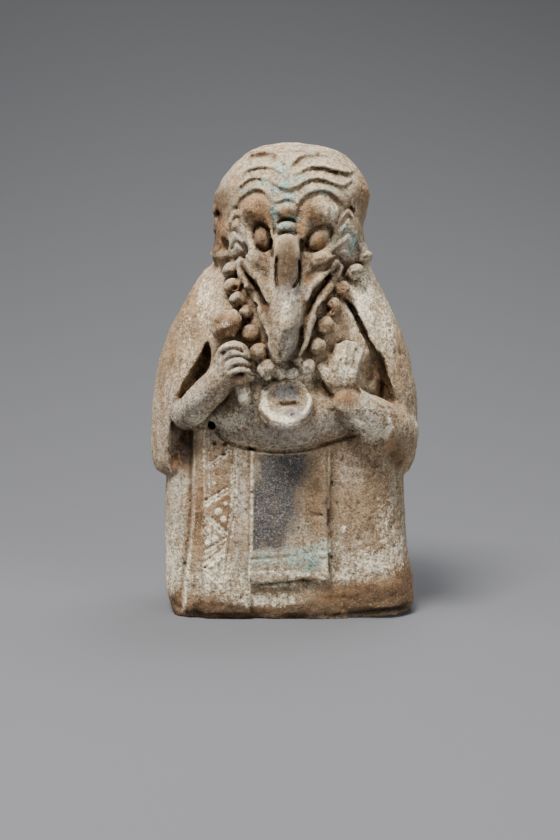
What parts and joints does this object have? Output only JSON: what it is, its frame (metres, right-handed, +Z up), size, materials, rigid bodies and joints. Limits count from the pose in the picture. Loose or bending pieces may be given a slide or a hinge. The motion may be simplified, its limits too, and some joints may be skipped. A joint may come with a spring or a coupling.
{
  "type": "whistle figurine",
  "caption": "Hollow fired-clay whistle shaped as an old bird-beaked figure in a cape, holding a rattle, with beads and a disc pendant.",
  "frame": {"origin": "on the underside, in the middle of the flat base the figure stands on", "axes": "+Z up through the head, -Y the way the figure faces, +X towards the figure's own left"},
  "size_m": [0.1051, 0.0818, 0.1802],
  "materials": {
    "fired_clay": "buff fired clay under a worn whitish slip, with orange-brown patches and traces of turquoise, cream and blue-black paint"
  },
  "bodies": {
    "root": {"whistle_figurine": "fired_clay"}
  },
  "joints": []
}
